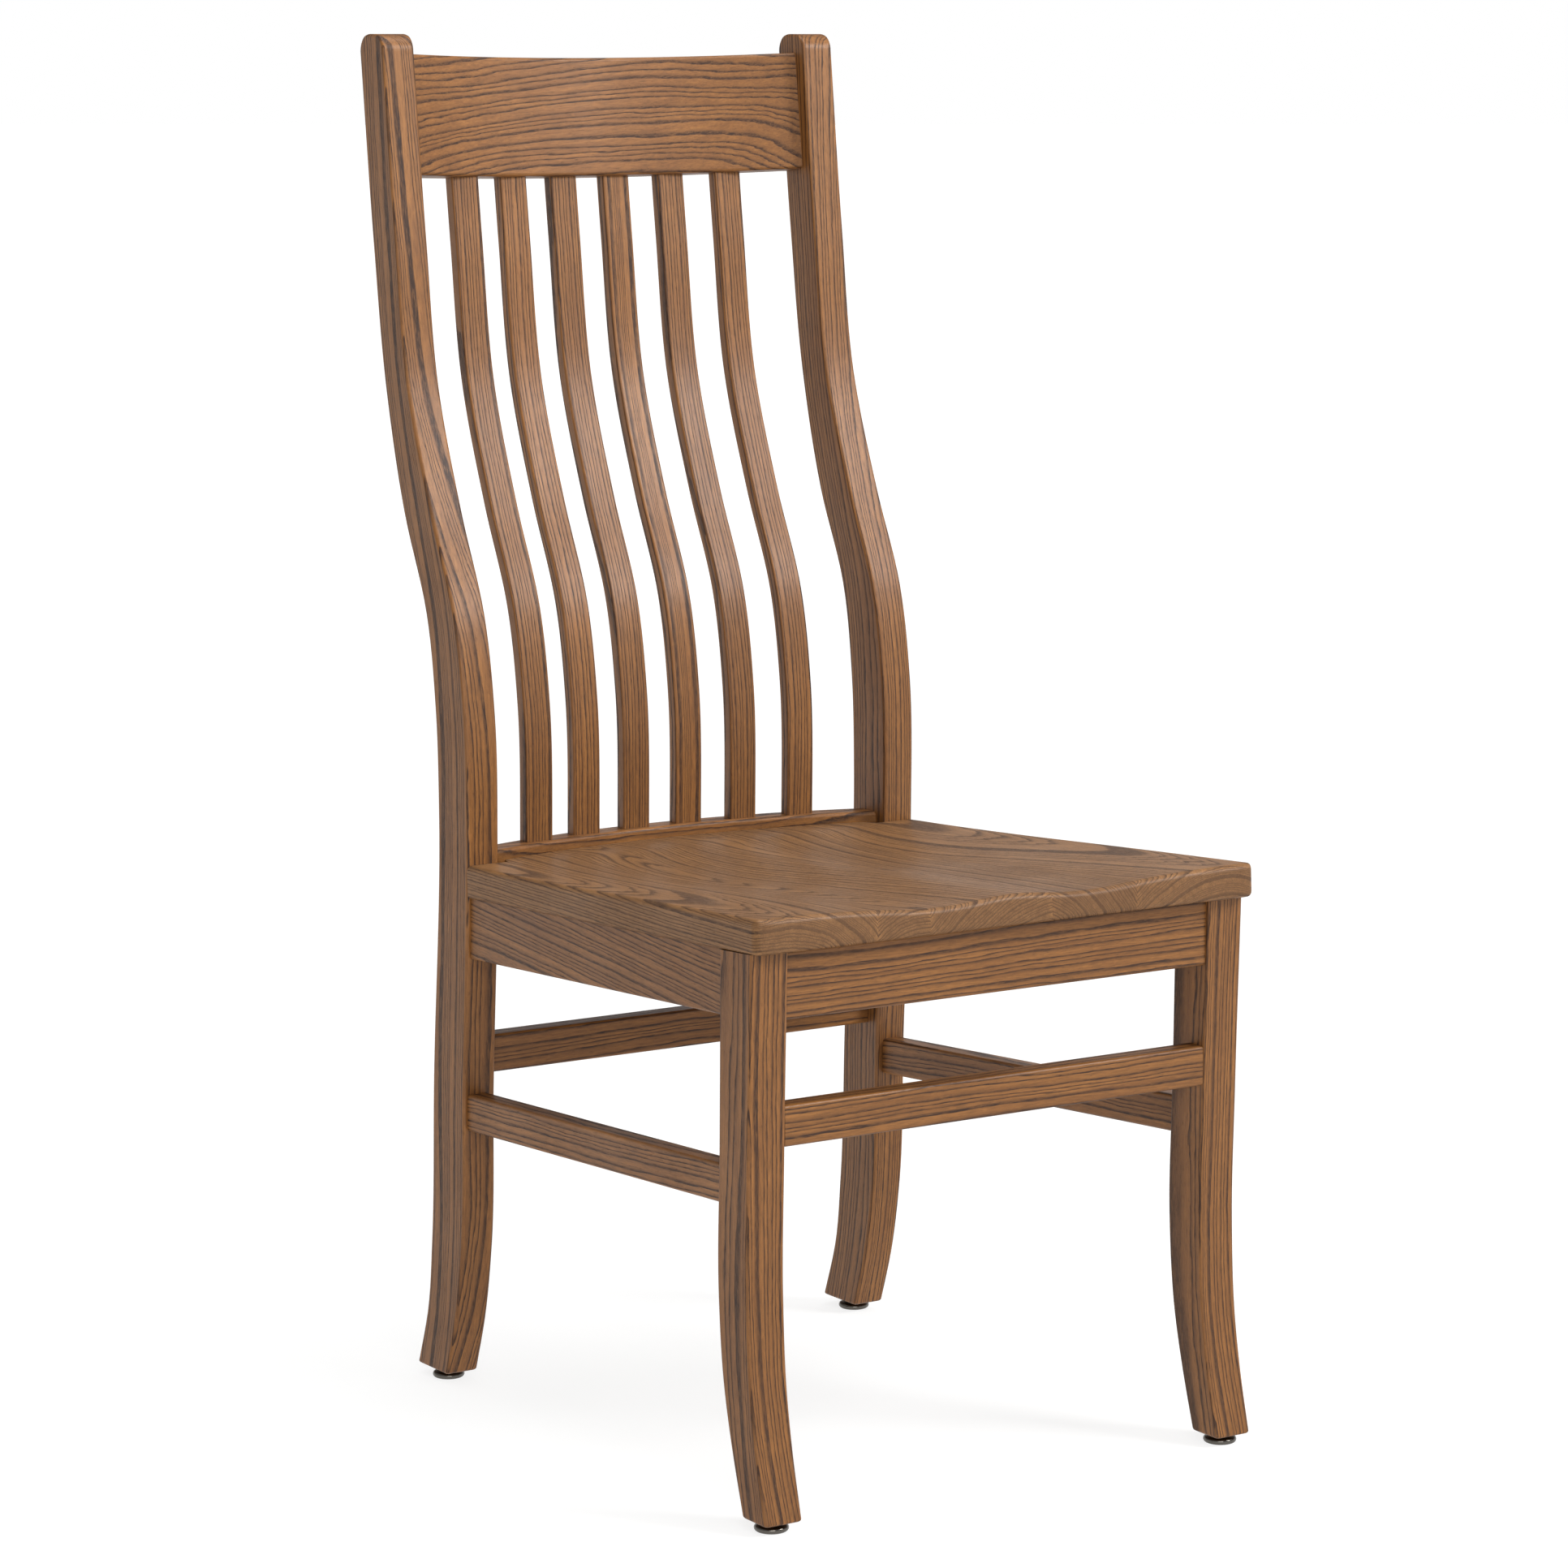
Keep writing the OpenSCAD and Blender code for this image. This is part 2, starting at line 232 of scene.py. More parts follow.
# ---- Meshes ------------------------------------------------------------------------------


@dataclass
class Piece:
    """A mesh under construction, and what it stands for."""

    name: str
    node: str
    slot: str
    body: str = ROOT
    verts: list[Vector] = field(default_factory=list)
    faces: list[tuple[int, ...]] = field(default_factory=list)

    def loft(self, rings: list[Ring], capped: bool = True) -> None:
        """Joins closed rings of equal length into a skin.

        Args:
            rings: the rings in order; each is anticlockwise seen from the last one.
            capped: whether the two ends are closed.
        """
        start, n = len(self.verts), len(rings[0])
        for ring in rings:
            self.verts.extend(ring)
        for k in range(len(rings) - 1):
            a, b = start + k * n, start + (k + 1) * n
            for i in range(n):
                j = (i + 1) % n
                self.faces.append((a + i, a + j, b + j, b + i))
        if capped:
            self.faces.append(tuple(start + i for i in reversed(range(n))))
            top = start + (len(rings) - 1) * n
            self.faces.append(tuple(top + i for i in range(n)))

    def lathe(self, centre: Vector, profile: list[tuple[float, float]], sides: int) -> None:
        """Turns a profile about a vertical axis.

        Args:
            centre: a point of the axis, from which heights are counted.
            profile: (radius, height) points from the bottom to the top.
            sides: number of sides of the round.
        """
        rings = []
        for radius, height in profile:
            turn = [2 * math.pi * k / sides for k in range(sides)]
            rings.append([
                centre + Vector((radius * math.cos(a), radius * math.sin(a), height))
                for a in turn
            ])
        self.loft(rings)

    def finish(self, material: bpy.types.Material, grain: Grain | None = None) -> bpy.types.Object:
        """Makes the Blender object, dresses it and ties it to the CAD frame.

        Args:
            material: the finish.
            grain: how the board was sawn; None on metal.

        Returns:
            The finished object.
        """
        mesh = bpy.data.meshes.new(self.name)
        mesh.from_pydata([tuple(v) for v in self.verts], [], self.faces)
        mesh.validate()
        mesh.shade_smooth()
        mesh.set_sharp_from_angle(angle=math.radians(40))
        mesh.materials.append(material)
        if grain:
            self.write_grain(mesh, grain)
        piece = bpy.data.objects.new(self.name, mesh)
        bpy.context.collection.objects.link(piece)
        shading = piece.modifiers.new("flat faces stay flat", "WEIGHTED_NORMAL")
        shading.keep_sharp = True
        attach(piece, self.body)
        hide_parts(self.node)
        log.info("%s: %d faces", self.name, len(mesh.polygons))
        return piece

    def write_grain(self, mesh: bpy.types.Mesh, grain: Grain) -> None:
        """Stores each point's place in the log, and how much end grain it shows.

        Args:
            mesh: the finished mesh.
            grain: how the board was sawn.
        """
        along = grain.axes()[0]
        shade = math.modf(abs(math.sin(grain.seed * 12.9898)) * 43.7585)[0]
        places: list[float] = []
        ends: list[float] = []
        for vertex in mesh.vertices:
            places.extend(grain.coordinates(vertex.co))
            ends.append(smoothstep(0.75, 0.97, abs(vertex.normal.dot(along))))
        mesh.attributes.new("log_place", "FLOAT_VECTOR", "POINT").data.foreach_set(
            "vector", places)
        mesh.attributes.new("end_grain", "FLOAT", "POINT").data.foreach_set("value", ends)
        mesh.attributes.new("board_tint", "FLOAT", "POINT").data.foreach_set(
            "value", [shade] * len(ends))
        mesh.attributes.new("ring_width", "FLOAT", "POINT").data.foreach_set(
            "value", [grain.ring] * len(ends))


# ---- Finishes ----------------------------------------------------------------------------


class Surface(Enum):
    """Where a wood finish reads the board's grain from."""

    LOG_PLACE = "stored with the mesh"
    OBJECT = "object coordinates"


def bare_material(name: str) -> bpy.types.Material:
    """Starts a node material with nothing in its tree.

    Args:
        name: the material's name.

    Returns:
        The material.
    """
    material = bpy.data.materials.new(name)
    material.use_nodes = True
    material.node_tree.nodes.clear()
    return material


def add_node(
    tree: bpy.types.NodeTree, kind: str, *values: Input, stops: Stops = (), **options: object
) -> bpy.types.Node:
    """Adds a node with its settings and links.

    Args:
        tree: the node tree.
        kind: the node's type, without the ShaderNode prefix.
        *values: the node's first inputs, in order.
        stops: (place, grey) pairs of a colour ramp.
        **options: the node's own settings in lower case, and inputs by name, as in
            Base_Color, or by number, as in _6. An input that is given a socket, or a node,
            which stands for its first output, is linked to it.

    Returns:
        The new node.
    """
    node = tree.nodes.new("ShaderNode" + kind)
    inputs = dict(enumerate(values))
    for key, value in options.items():
        if key[0].islower():
            setattr(node, key, value)
        elif key[0] == "_":
            inputs[int(key[1:])] = value
        else:
            inputs[key.replace("_", " ")] = value
    for key, value in inputs.items():
        source = value.outputs[0] if isinstance(value, bpy.types.Node) else value
        if isinstance(source, bpy.types.NodeSocket):
            tree.links.new(source, node.inputs[key])
        else:
            node.inputs[key].default_value = source
    if stops:
        elements = node.color_ramp.elements
        while len(elements) < len(stops):
            elements.new(0.5)
        for element, (place, grey) in zip(elements, stops):
            element.position = place
            element.color = (grey, grey, grey, 1)
    return node


@dataclass(frozen=True)
class StainedOak:
    """Red oak, planed and sanded, with a medium brown stain under satin lacquer.

    Oak is ring porous: each year's growth starts with a band of large pores, which drink up
    the stain, so the eye sees dark broken lines along the grain. Wide rays show as short
    smooth flecks where the face runs towards the pith. The lacquer is thin, so pores stay open.
    Each streak's size is its length along the log and its width across it. A streak shows
    where its noise rises over noise_level, and a gain sets how sharp its edge is.
    """

    name: str
    pale: str = "#91602f"
    mid: str = "#764b23"
    dark: str = "#2b1608"
    board_contrast: float = 0.14
    line_share: float = 0.95
    pore_share: float = 0.5
    fleck_share: float = 0.3
    cloud_share: float = 0.45
    end_share: float = 0.3
    noise_level: float = 0.62
    pore_gain: float = 8.0
    fleck_gain: float = 7.0
    early_help: float = 0.14
    roughness: float = 0.46
    pore_roughness: float = 0.2
    patch_roughness: float = 0.2
    coat: float = 0.06
    surface: Surface = Surface.LOG_PLACE
    wander_size: float = 50 * MM
    wander_rings: float = 3.2
    ripple_size: float = 20 * MM / 3
    ripple_rings: float = 0.75
    uneven_every: float = 2.5
    cloud_size: float = 1000 * MM / 11
    dash: tuple[float, float] = (13 * MM, 1.1 * MM)
    # A real pore is about 0.25 mm wide, too fine to show: it is drawn nearly twice as coarse.
    pore: tuple[float, float] = (6 * MM, 0.45 * MM)
    pore_depth: float = 0.2 * MM
    band: tuple[float, float] = (130 * MM, 5 * MM)
    fleck: tuple[float, float] = (9 * MM, 3 * MM)
    pith_distance: float = 60 * MM

    def build(self) -> bpy.types.Material:
        """Makes the node material.

        Returns:
            The material.
        """
        material = bare_material(self.name)
        add = partial(add_node, material.node_tree)
        place, end, tint, ring = self.board(add)
        x, y, z = add("SeparateXYZ", place).outputs
        square_y = add("Math", y, y, operation="MULTIPLY")
        square_z = add("Math", z, z, operation="MULTIPLY")
        square = add("Math", square_y, square_z, operation="ADD")
        radius = add("Math", square, operation="SQRT")
        early = self.early_wood(add, (x, y, z), radius, ring)

        # Broken lines: rows of open pores that hold the stain, two sizes of dash.
        dashes = self.streaks(add, (x, y, z), self.dash, 2.0)
        fine = self.streaks(add, (x, y, z), self.pore, 1.5)
        broken = add("ValToRGB", dashes, stops=((0.3, 0.25), (0.56, 1.0)))
        rows = add("Math", early, broken, operation="MULTIPLY")
        easier = add("Math", early, self.early_help, operation="MULTIPLY")
        threshold = add("Math", self.noise_level, easier, operation="SUBTRACT")
        above = add("Math", fine, threshold, operation="SUBTRACT")
        pores = add("Math", above, self.pore_gain, operation="MULTIPLY", use_clamp=True)

        # Bands a few millimetres wide and broad clouds, where the stain took unevenly.
        bands = self.streaks(add, (x, y, z), self.band, 3.0)
        clouds = add("TexNoise", place, Scale=1 / self.cloud_size, Detail=2.0, Roughness=0.5)

        # Ray flecks: small smooth lenses on faces that run towards the pith.
        turn = add("Math", y, z, operation="ARCTAN2")
        round_pith = add("Math", turn, self.pith_distance, operation="MULTIPLY")
        rays = self.streaks(add, (x, radius, round_pith), self.fleck, 1.0)
        above = add("Math", rays, self.noise_level, operation="SUBTRACT")
        flecks = add("Math", above, self.fleck_gain, operation="MULTIPLY", use_clamp=True)

        # Colour: two browns in bands and clouds, each board a little darker or lighter.
        banded = add("ValToRGB", bands, stops=((0.3, 0.0), (0.7, 1.0)))
        clouded = add("ValToRGB", clouds, stops=((0.35, 0.0), (0.7, 1.0)))
        mottle = add("Math", clouded, self.cloud_share, operation="MULTIPLY")
        darker = add("Math", tint, self.board_contrast, operation="MULTIPLY")
        level = add("Math", 1.0, darker, operation="SUBTRACT")
        grey = add("CombineColor", level, level, level)
        dashed = add("ValToRGB", dashes, stops=((0.33, 0.7), (0.6, 1.0)))
        smooth = add("Math", flecks, self.fleck_share, operation="MULTIPLY")

        # Stain: darkest in the rows of pores, and in end grain, which hides the rows.
        uneven = add("Math", 0.6, bands, operation="ADD")
        uneven = add("Math", uneven, 0.95, operation="MULTIPLY")
        lines = add("Math", rows, uneven, operation="MULTIPLY")
        hidden = add("Math", end, 0.4, operation="MULTIPLY")
        shown = add("Math", 1.0, hidden, operation="SUBTRACT")
        lines = add("Math", lines, shown, operation="MULTIPLY")
        lines = add("Math", lines, self.line_share, operation="MULTIPLY", use_clamp=True)
        open_pores = add("Math", pores, self.pore_share, operation="MULTIPLY")
        end_stain = add("Math", end, self.end_share, operation="MULTIPLY")
        colour = linear(self.mid)
        for share, over, mode in (
            (banded, linear(self.pale), "MIX"),
            (mottle, linear(self.mid), "MIX"),
            (1.0, grey, "MULTIPLY"),
            (1.0, dashed, "MULTIPLY"),
            (smooth, linear(self.pale), "MIX"),
            (lines, linear(self.dark), "MIX"),
            (open_pores, linear(self.dark), "MIX"),
            (end_stain, linear(self.dark), "MIX"),
        ):
            colour = add("Mix", share, _6=colour, _7=over, data_type="RGBA",
                         blend_type=mode).outputs[2]

        # Lacquer: satin, rougher and a little sunk where the pores are open.
        half_rows = add("Math", rows, 0.5, operation="MULTIPLY")
        marks = add("Math", pores, half_rows, operation="MAXIMUM")
        rougher = add("Math", marks, self.pore_roughness, operation="MULTIPLY")
        rough = add("Math", self.roughness, rougher, operation="ADD")
        centred = add("Math", clouds, 0.5, operation="SUBTRACT")
        patchy = add("Math", centred, self.patch_roughness, operation="MULTIPLY")
        rough = add("Math", rough, patchy, operation="ADD")
        height = add("Math", 1.0, marks, operation="SUBTRACT")
        bump = add("Bump", Strength=0.4, Distance=self.pore_depth, Height=height)
        shader = add("BsdfPrincipled", Base_Color=colour, Roughness=rough, Normal=bump,
                     Coat_Weight=self.coat, Coat_Roughness=0.25, Coat_IOR=1.5, IOR=1.45,
                     Specular_IOR_Level=0.36)
        add("OutputMaterial", shader)
        return material

    def board(self, add: Adder) -> tuple[Input, Input, Input, Input]:
        """Reads where a point lies in the log, and what is particular to its board.

        Args:
            add: adds a node to the material's tree.

        Returns:
            The place in the log, the share of end grain, the board's tint and its ring width.
        """
        if self.surface is Surface.OBJECT:
            where = add("TexCoord").outputs["Object"]
            return add("Mapping", where, Location=(0.3, 0.06, 0.02)), 0.0, 0.5, RING
        place = add("Attribute", attribute_name="log_place").outputs["Vector"]
        end = add("Attribute", attribute_name="end_grain").outputs["Fac"]
        tint = add("Attribute", attribute_name="board_tint").outputs["Fac"]
        ring = add("Attribute", attribute_name="ring_width").outputs["Fac"]
        return place, end, tint, ring

    def early_wood(self, add: Adder, at: tuple[Input, ...], radius: Input,
                   ring: Input) -> bpy.types.Node:
        """Growth rings about the pith, which wander a few millimetres over a hand's length.

        Args:
            add: adds a node to the material's tree.
            at: distances along the log and, two of them, across it.
            radius: distance from the pith.
            ring: width of a ring.

        Returns:
            A node that gives 1 in the porous early wood and 0 in the dense late wood.
        """
        x, y, z = at
        slow = add("CombineXYZ", add("Math", x, 0.15, operation="MULTIPLY"), y, z)
        wander = add("TexNoise", slow, Scale=1 / self.wander_size, Detail=1.0, Roughness=0.4)
        ripple = add("TexNoise", slow, Scale=1 / self.ripple_size, Detail=2.0, Roughness=0.6)
        turns = add("Math", radius, ring, operation="DIVIDE")
        for noise, reach in ((wander, self.wander_rings), (ripple, self.ripple_rings)):
            centred = add("Math", noise, 0.5, operation="SUBTRACT")
            shift = add("Math", centred, reach, operation="MULTIPLY")
            turns = add("Math", turns, shift, operation="ADD")
        years = add("Math", turns, 1 / self.uneven_every, operation="MULTIPLY")
        uneven = add("TexNoise", noise_dimensions="1D", W=years, Scale=1.0, Detail=0.0)
        spread = add("Math", uneven, 2.0, operation="MULTIPLY")
        phase = add("Math", add("Math", turns, spread, operation="ADD"), operation="FRACT")
        return add("ValToRGB", phase, stops=((0.0, 0.0), (0.06, 1.0), (0.22, 0.85), (0.4, 0.22),
                                             (0.65, 0.0), (1.0, 0.0)))

    def streaks(self, add: Adder, at: tuple[Input, ...], size: tuple[float, float],
                detail: float) -> bpy.types.Node:
        """Noise stretched along the log.

        Args:
            add: adds a node to the material's tree.
            at: distances along the log and, two of them, across it.
            size: length and width of a streak.
            detail: octaves of finer noise.

        Returns:
            The noise node.
        """
        length, width = size
        counts = [add("Math", distance, unit, operation="DIVIDE")
                  for distance, unit in zip(at, (length, width, width))]
        return add("TexNoise", add("CombineXYZ", *counts), Scale=1.0, Detail=detail,
                   Roughness=0.6)


@dataclass(frozen=True)
class PlatedMetal:
    """Steel, pressed or turned, then plated: nickel on the pads, zinc on what is hidden.

    Plating follows the metal under it, so the shine is broken by fine scuffs and a slight haze.
    """

    name: str
    colour: str
    roughness: float
    haze_colour: str = "#3f3c39"
    haze_share: float = 0.3
    scuffs: float = 0.25
    haze_size: float = 50 * MM / 3
    # Nine scuffs to a centimetre, coarser than real ones, so that they show.
    scuff_width: float = 10 * MM / 9
    scuff_length: float = 100 * MM / 9
    scuff_depth: float = 0.05 * MM

    def build(self) -> bpy.types.Material:
        """Makes the node material.

        Returns:
            The material.
        """
        material = bare_material(self.name)
        add = partial(add_node, material.node_tree)
        where = add("TexCoord").outputs["Object"]
        haze = add("TexNoise", where, Scale=1 / self.haze_size, Detail=3.0)
        counts = (1 / self.scuff_width, 1 / self.scuff_width, 1 / self.scuff_length)
        scuff = add("TexNoise", add("Mapping", where, Scale=counts), Scale=1.0, Detail=2.0)
        half_haze = add("Math", haze, 0.5, operation="MULTIPLY")
        half_scuff = add("Math", scuff, 0.5, operation="MULTIPLY")
        marks = add("Math", half_haze, half_scuff, operation="ADD")
        centred = add("Math", marks, 0.5, operation="SUBTRACT")
        change = add("Math", centred, self.scuffs, operation="MULTIPLY")
        rough = add("Math", self.roughness, change, operation="ADD")
        share = add("Math", haze, self.haze_share, operation="MULTIPLY")
        tone = add("Mix", share, _6=linear(self.colour), _7=linear(self.haze_colour),
                   data_type="RGBA").outputs[2]
        bump = add("Bump", Strength=0.08, Distance=self.scuff_depth, Height=scuff)
        shader = add("BsdfPrincipled", Base_Color=tone, Metallic=1.0, Roughness=rough,
                     Normal=bump)
        add("OutputMaterial", shader)
        return material


@dataclass
class Finishes:
    """Every finish on the chair, each made once."""

    oak: bpy.types.Material = field(init=False)
    seat: bpy.types.Material = field(init=False)
    block: bpy.types.Material = field(init=False)
    nickel: bpy.types.Material = field(init=False)
    zinc: bpy.types.Material = field(init=False)

    def __post_init__(self) -> None:
        """Builds the materials."""
        self.oak = StainedOak("stained red oak").build()
        self.seat = StainedOak(
            "stained red oak, seat", pale="#8d643b", mid="#744f2b", dark="#3a2413",
            line_share=0.9, roughness=0.52, coat=0.03, board_contrast=0.1
        ).build()
        self.block = StainedOak(
            "stained oak, unpolished", roughness=0.7, coat=0.0, surface=Surface.OBJECT
        ).build()
        self.nickel = PlatedMetal("nickel-plated steel", "#65615b", 0.2).build()
        self.zinc = PlatedMetal("zinc-plated steel", "#6e6b67", 0.42).build()


# ---- The chair's side outlines -----------------------------------------------------------


@dataclass(frozen=True)
class Sides:
    """Side outlines as (y, z) points in millimetres, with y counted from the seat's front edge."""

    post_front: Outline = (
        (483, 8), (467, 57), (456, 114), (450, 250), (440.5, 440),
        (443, 552), (458, 629), (493, 708), (527, 801), (545, 919), (563, 1070),
    )
    post_back: Outline = (
        (531, 8), (514, 58), (506.5, 116), (500.5, 250), (487.5, 470),
        (491, 552), (504.5, 629), (538, 705), (565.5, 801), (584, 919), (602, 1070),
    )
    leg_front: Outline = ((-7, 8), (4.5, 55), (12.5, 100), (17.5, 170), (16, 280), (11.5, 440))
    leg_back: Outline = ((25, 8), (39.5, 55), (50.5, 100), (58, 170), (56.5, 280), (54.5, 440))

    @property
    def origin(self) -> float:
        """The seat's front edge in the CAD frame, in metres."""
        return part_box("front_apron")[0].y - APRON_SET

    def at(self, outline: Outline, z: float) -> float:
        """Place of an outline at a height.

        Args:
            outline: one of this class's outlines.
            z: height in metres.

        Returns:
            y in the CAD frame, in metres.
        """
        return hermite(list(outline), z / MM) * MM + self.origin


SIDES = Sides()


def board_grain(
    node: str, along: tuple[float, float, float], pith: tuple[float, float, float], seed: float,
    ring: float = RING / MM, curve: Outline = (), bent_share: float = 0.0
) -> Grain:
    """Grain of a board, by how far its pith lies from the board's middle.

    Args:
        node: the CAD node.
        along: direction that the board's fibres run in.
        pith: millimetres from the board's middle to the pith, by axis.
        seed: a number that shifts the figure along the log.
        ring: width of a growth ring, in millimetres.
        curve: the outline that a bent board follows.
        bent_share: how much of the curve its fibres follow.

    Returns:
        The board's grain.
    """
    low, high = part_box(node)
    middle = (low + high) / 2 + Vector(pith) * MM
    return Grain(Vector(along), middle, seed, ring * MM, curve, bent_share)


# ---- Posts and legs ----------------------------------------------------------------------


@dataclass
class Upright:
    """A post or a leg: sawn to a curve in side view, straight in front view."""

    node: str
    front: Outline
    back: Outline
    pith: tuple[float, float, float]
    seed: float
    top_slope: float = 0.0
    nose: float = 0.0
    ring: float = 3.0
    bent_share: float = 0.75
    arris: float = 2.6 * MM
    foot: float = 2.2 * MM
    levels: int = 96

    def section(self, z: float, grow: float = 0.0, rise: float = 0.0) -> Ring:
        """One level section.

        Args:
            z: height of the outline that the section follows.
            grow: how far the section is moved out, or in if negative.
            rise: how far the section is lifted above that height.

        Returns:
            The ring of points.
        """
        low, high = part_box(self.node)
        y0 = SIDES.at(self.front, z) - grow
        y1 = SIDES.at(self.back, z) + grow
        points = rounded_rectangle(low.x - grow, high.x + grow, y0, y1, self.arris)
        slope = self.top_slope * smoothstep(0.02, 0.0, high.z - z)
        return [Vector((x, y, z + rise - slope * (y - y0))) for x, y in points]

    def rings(self) -> list[Ring]:
        """Sections from the foot up.

        Returns:
            The rings, with the rounded foot and top.
        """
        low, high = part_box(self.node)
        rings = [self.section(low.z + d, -inset) for d, inset in quarter_steps(self.foot)]
        start = low.z + self.foot
        end = high.z - self.nose
        rings += [self.section(start + (end - start) * k / self.levels)
                  for k in range(1, self.levels + 1)]
        return rings + self.nose_rings(end)

    def nose_rings(self, start: float) -> list[Ring]:
        """Sections of the rounded top, which is turned over front and back.

        Args:
            start: height at which the rounding starts.

        Returns:
            The rings above it.
        """
        if not self.nose:
            return []
        low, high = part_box(self.node)
        y0, y1 = SIDES.at(self.front, start), SIDES.at(self.back, start)
        rings = []
        for k in range(1, 11):
            angle = math.radians(9 * k)
            inset = self.nose * (1 - math.cos(angle))
            z = start + self.nose * math.sin(angle)
            side = max(0.0, z - (high.z - self.arris)) ** 2 / (2 * self.arris)
            points = rounded_rectangle(low.x + side, high.x - side, y0 + inset, y1 - inset,
                                       self.arris)
            rings.append([Vector((x, y, z)) for x, y in points])
        return rings

    def build(self, finishes: Finishes) -> None:
        """Makes the post or leg.

        Args:
            finishes: the chair's finishes.
        """
        piece = Piece(self.node + "_oak", self.node, "stained_oak")
        piece.loft(self.rings())
        piece.finish(finishes.oak, board_grain(self.node, (0, 0, 1), self.pith, self.seed,
                                               self.ring, self.front, self.bent_share))


# ---- Back --------------------------------------------------------------------------------


@dataclass
class BowedRail:
    """A rail sawn to an arc in plan, with a tenon at each end."""

    node: str
    height: float
    rake: float
    seed: float
    pith: tuple[float, float, float]
    along: tuple[float, float, float] = (1, 0, 0)
    half_width: float = BACK_HALF
    tenon: float = 13 * MM
    tenon_front: float = 6 * MM
    tenon_shoulder: float = 12 * MM
    into_post: float = 1.0 * MM
    end_gap: float = 0.5 * MM
    thickness: float = 24 * MM
    bow: float = BOW
    arris: float = 3.0 * MM
    ring: float = 5.6
    steps: int = 60

    def frame(self) -> Matrix:
        """Where the rail stands.

        Returns:
            The place of its lower front edge at its ends, turned by its rake.
        """
        low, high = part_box(self.node)
        lean = math.sin(self.rake) * self.height
        depth = self.bow + self.thickness
        y = high.y - lean - depth * math.cos(self.rake)
        z = low.z + depth * math.sin(self.rake)
        return Matrix.Translation((0, y, z)) @ Matrix.Rotation(-self.rake, 4, "X")

    def section(self, angle: float, radius: float, inset: float = 0.0) -> Ring:
        """The rail's section at an angle of its arc.

        Args:
            angle: angle from the middle, in radians.
            radius: radius of the front face.
            inset: how far the section is drawn in.

        Returns:
            The ring of points.
        """
        middle = self.bow - radius
        place = self.frame()
        points = rounded_rectangle(radius + inset, radius + self.thickness - inset,
                                   inset, self.height - inset, self.arris)
        return [
            place @ Vector((r * math.sin(angle), middle + r * math.cos(angle), h))
            for r, h in points
        ]

    def build(self, finishes: Finishes) -> None:
        """Makes the rail.

        Args:
            finishes: the chair's finishes.
        """
        radius = (self.half_width**2 + self.bow**2) / (2 * self.bow)
        reach = math.asin((self.half_width + self.into_post) / radius)
        angles = [-reach + 2 * reach * k / self.steps for k in range(self.steps + 1)]
        rings = [self.section(a, radius) for a in angles]
        ends = []
        for side in (-1, 1):
            points = rounded_rectangle(
                self.tenon_front, self.tenon_front + TENON_THICKNESS,
                self.tenon_shoulder, self.height - self.tenon_shoulder, TENON_ARRIS
            )
            place = self.frame()
            ends.append([
                [place @ Vector((side * x, y, h)) for y, h in points]
                for x in (self.half_width + self.tenon - self.end_gap, self.half_width)
            ])
        piece = Piece(self.node + "_oak", self.node, "stained_oak")
        piece.loft([*ends[0], *rings, *reversed(ends[1])])
        piece.finish(finishes.oak, board_grain(self.node, self.along, self.pith, self.seed,
                                               self.ring))


@dataclass
class Slat:
    """A back slat, sawn to the posts' curve and housed in the two rails."""

    number: int
    seed: float
    thickness: float = 12 * MM
    arris: float = 2.0 * MM
    ring: float = 3.0
    levels: int = 70

    def build(self, finishes: Finishes) -> None:
        """Makes the slat.

        Args:
            finishes: the chair's finishes.
        """
        node = f"back_slat_{self.number}"
        low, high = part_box(node)
        lowest = min(
            SIDES.at(SIDES.post_front, low.z + (high.z - low.z) * k / 40) for k in range(41)
        )
        shift = low.y - lowest
        rings = []
        for k in range(self.levels + 1):
            z = low.z + (high.z - low.z) * k / self.levels
            y = SIDES.at(SIDES.post_front, z) + shift
            points = rounded_rectangle(low.x, high.x, y, y + self.thickness, self.arris)
            rings.append([Vector((px, py, z)) for px, py in points])
        piece = Piece(node + "_oak", node, "stained_oak")
        piece.loft(rings)
        side = 1 if math.sin(self.seed * 7.3) > 0 else -1
        pith = (side * (75 + 20 * math.sin(self.seed * 5.1)), 25 * math.cos(self.seed * 3.3), 0)
        piece.finish(finishes.oak, board_grain(node, (0.004, 0, 1), pith, self.seed, self.ring,
                                               SIDES.post_front, 1.0))


# ---- Rails below the seat ----------------------------------------------------------------


